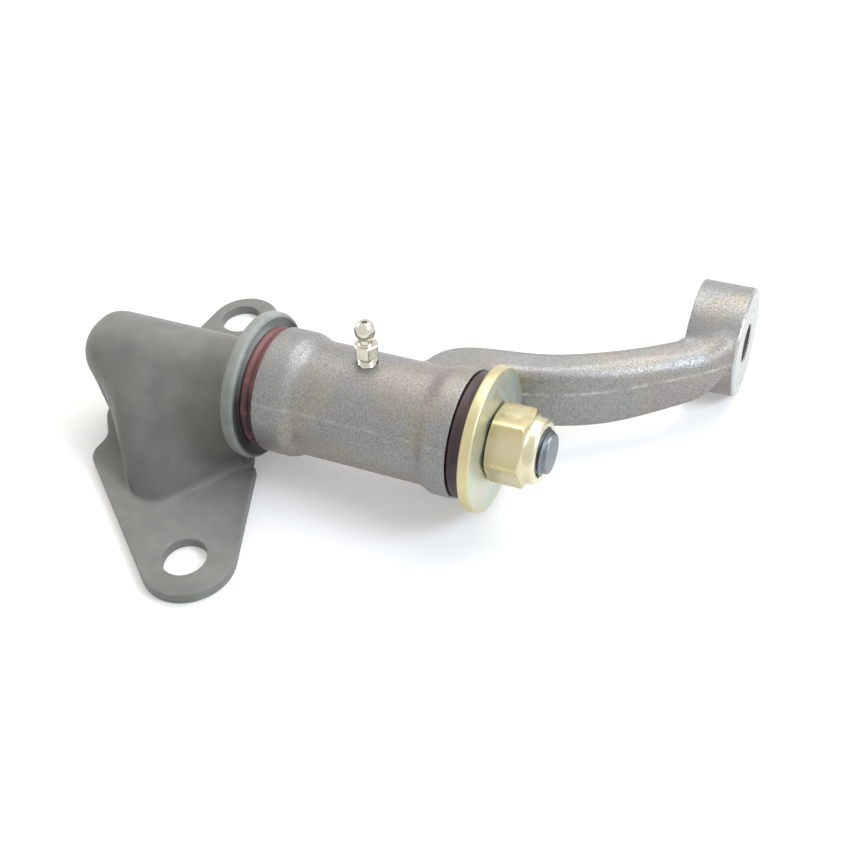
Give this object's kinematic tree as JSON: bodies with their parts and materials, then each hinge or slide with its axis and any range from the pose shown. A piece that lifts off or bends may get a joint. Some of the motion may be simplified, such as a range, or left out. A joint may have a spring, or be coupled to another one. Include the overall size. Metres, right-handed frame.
{
  "type": "steering idler arm",
  "caption": "Steering idler arm: curved forged arm with a greased barrel that swings on a shaft welded into a stamped two-bolt bracket, held by a plate washer and lock nut.",
  "frame": {"origin": "Midway between the bracket's two bolt holes, on the face that bolts to the frame rail.", "axes": "+X along the pivot shaft towards its nut, +Z out of the mounting face on the pocket's side, +Y on the side that the arm reaches out to."},
  "size_m": [0.2029, 0.1652, 0.0604],
  "materials": {
    "bracket_paint": "satin warm grey paint over a steel stamping",
    "collar_paint": "satin grey paint on a turned and welded ring",
    "shaft_steel": "plain turned steel with a cut thread",
    "yellow_zinc": "pale yellow zinc plating",
    "insert_nylon": "undyed nylon",
    "forged_steel": "raw drop forging, shot blasted, faintly heat tinted, machined eye faces",
    "bush_plastic": "dark moulded bearing plastic",
    "seal_rubber": "dull maroon rubber",
    "bright_plating": "bright plated steel",
    "bearing_steel": "hard bright steel"
  },
  "bodies": {
    "bracket": {"idler_bracket": "bracket_paint", "thrust_collar": "collar_paint", "pivot_shaft": "shaft_steel", "plate_washer": "yellow_zinc", "lock_nut": "yellow_zinc", "nut_insert": "insert_nylon"},
    "arm": {"idler_arm": "forged_steel", "rear_bush": "bush_plastic", "front_bush": "bush_plastic", "rear_dust_seal": "seal_rubber", "front_dust_seal": "seal_rubber", "nipple_body": "bright_plating", "nipple_spring": "bearing_steel"},
    "check_ball": {"nipple_ball": "bearing_steel"}
  },
  "joints": [
    {"name": "arm_swing", "type": "hinge", "parent": "bracket", "child": "arm", "pos_m": [0.025, 0.0018, 0.0278], "axis": [1, 0, 0], "range_deg": [-33, 47]},
    {"name": "nipple_check", "type": "slide", "parent": "arm", "child": "check_ball", "axis": [0, -0.1248, -0.9922], "range_m": [0, 0.0006], "stiffness_N_per_m": 150, "springref_m": -0.001, "deforming": ["nipple_spring"]}
  ]
}
